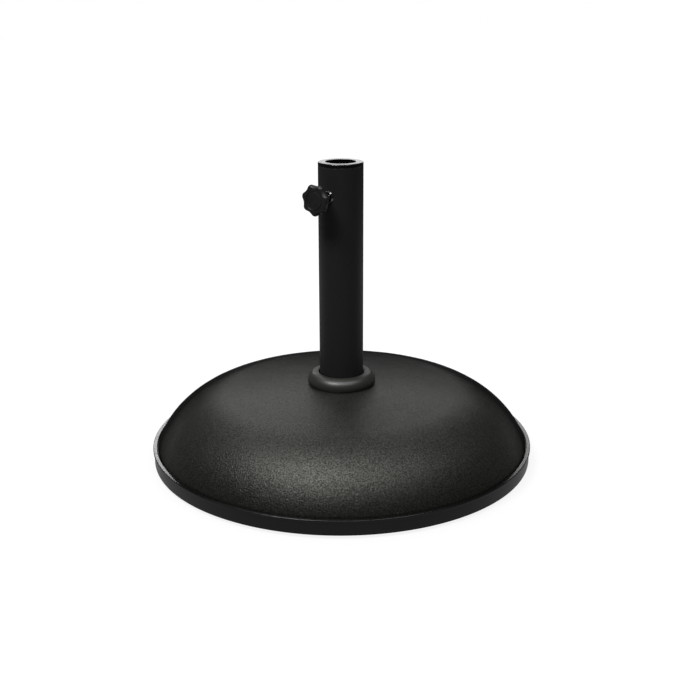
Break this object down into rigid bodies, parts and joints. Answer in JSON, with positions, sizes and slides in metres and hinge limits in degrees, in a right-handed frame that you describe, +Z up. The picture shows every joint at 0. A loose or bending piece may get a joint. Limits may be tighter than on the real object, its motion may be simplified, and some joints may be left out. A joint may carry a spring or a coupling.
{
  "type": "parasol base",
  "caption": "Round weighted parasol base: textured dome in an edge ring, upright steel tube with reducer sleeve, loose foot collar and star knob that clamps the pole.",
  "frame": {"origin": "on the pole's axis at floor level, under the rubber feet", "axes": "+Z up along the pole, the clamp knob points to -Y"},
  "size_m": [0.5, 0.5, 0.39],
  "materials": {
    "coated_concrete": "fine sand-textured satin charcoal coat over cast concrete",
    "ring_plastic": "glossy black moulding",
    "tube_paint": "satin black powder coat",
    "collar_plastic": "satin charcoal moulding",
    "sleeve_plastic": "satin black moulding",
    "knob_plastic": "satin black moulding",
    "zinc_steel": "bright zinc plating",
    "plain_steel": "plain drawn wire",
    "insert_brass": "turned",
    "nylon": "natural nylon",
    "foot_rubber": "matt",
    "plug_plastic": "grey nylon wall plug"
  },
  "bodies": {
    "base": {"edge_ring": "ring_plastic", "concrete_weight": "coated_concrete", "reinforcing_ring": "plain_steel", "upright_tube": "tube_paint", "anchor_flange": "tube_paint", "anchor_inserts": "insert_brass", "anchor_washers": "zinc_steel", "anchor_lock_washers": "zinc_steel", "anchor_bolts": "zinc_steel", "pole_seat_plug": "sleeve_plastic", "clamp_nut": "zinc_steel", "rubber_feet": "foot_rubber", "foot_screws": "zinc_steel", "foot_plugs": "plug_plastic"},
    "reducer": {"reducer_sleeve": "sleeve_plastic"},
    "collar": {"foot_collar": "collar_plastic"},
    "tip_pad": {"screw_tip_pad": "nylon"},
    "clamp_handle": {"clamp_screw": "zinc_steel", "clamp_knob": "knob_plastic", "knob_cap": "knob_plastic"}
  },
  "joints": [
    {"name": "reducer_lift", "type": "slide", "parent": "base", "child": "reducer", "axis": [0, 0, 1], "range_m": [0, 0.03]},
    {"name": "collar_lift", "type": "slide", "parent": "base", "child": "collar", "axis": [0, 0, 1], "range_m": [0, 0.21]},
    {"name": "clamp_travel", "type": "slide", "parent": "base", "child": "tip_pad", "axis": [0, -1, 0], "range_m": [-0.0022, 0.00501]},
    {"name": "knob_turn", "type": "hinge", "parent": "tip_pad", "child": "clamp_handle", "pos_m": [0, -0.04, 0.349], "axis": [0, -1, 0], "range_deg": [-630, 1440]}
  ],
  "couplings": [
    {"joint": "clamp_travel", "follows": "knob_turn", "m_per_rad": 0.00019894}
  ]
}
